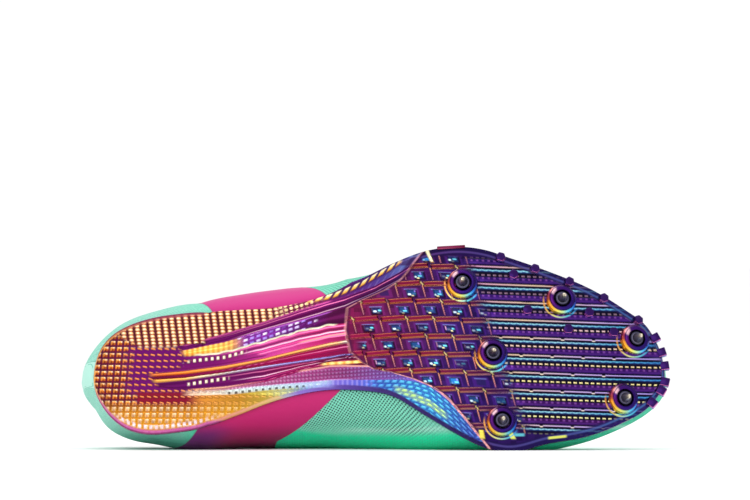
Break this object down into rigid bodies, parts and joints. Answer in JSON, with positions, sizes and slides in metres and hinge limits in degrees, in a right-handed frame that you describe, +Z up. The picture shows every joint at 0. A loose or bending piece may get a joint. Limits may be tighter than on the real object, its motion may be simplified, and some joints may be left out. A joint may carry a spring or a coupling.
{
  "type": "track spike shoe",
  "caption": "Right track spike shoe lying on its side: hollow low upper with open throat and collar, ridged hard sole plate with screw-in spikes, insole, tongue and lace bars",
  "frame": {"origin": "centre of the shoe's box on the floor, with the shoe lying on its medial side", "axes": "+X runs from heel to toe, +Y from the sole towards the collar, +Z up from the floor, towards the lateral side of the shoe"},
  "size_m": [0.285, 0.1188, 0.0978],
  "materials": {
    "upper": "thin engineered mesh with film panels",
    "outsole_plate": "iridescent moulded hard plastic",
    "spike_pin": "bright turned steel",
    "insole": "cloth-faced foam",
    "tongue": "thin padded mesh",
    "lace": "flat woven cord"
  },
  "bodies": {
    "root": {"upper": "upper", "outsole_plate": "outsole_plate", "spike_pin_1": "spike_pin", "spike_pin_2": "spike_pin", "spike_pin_3": "spike_pin", "spike_pin_4": "spike_pin", "spike_pin_5": "spike_pin", "spike_pin_6": "spike_pin", "insole": "insole", "tongue": "tongue", "lace_bar_1": "lace", "lace_bar_2": "lace", "lace_bar_3": "lace", "lace_bar_4": "lace", "lace_bar_5": "lace", "lace_bar_6": "lace"}
  },
  "joints": []
}
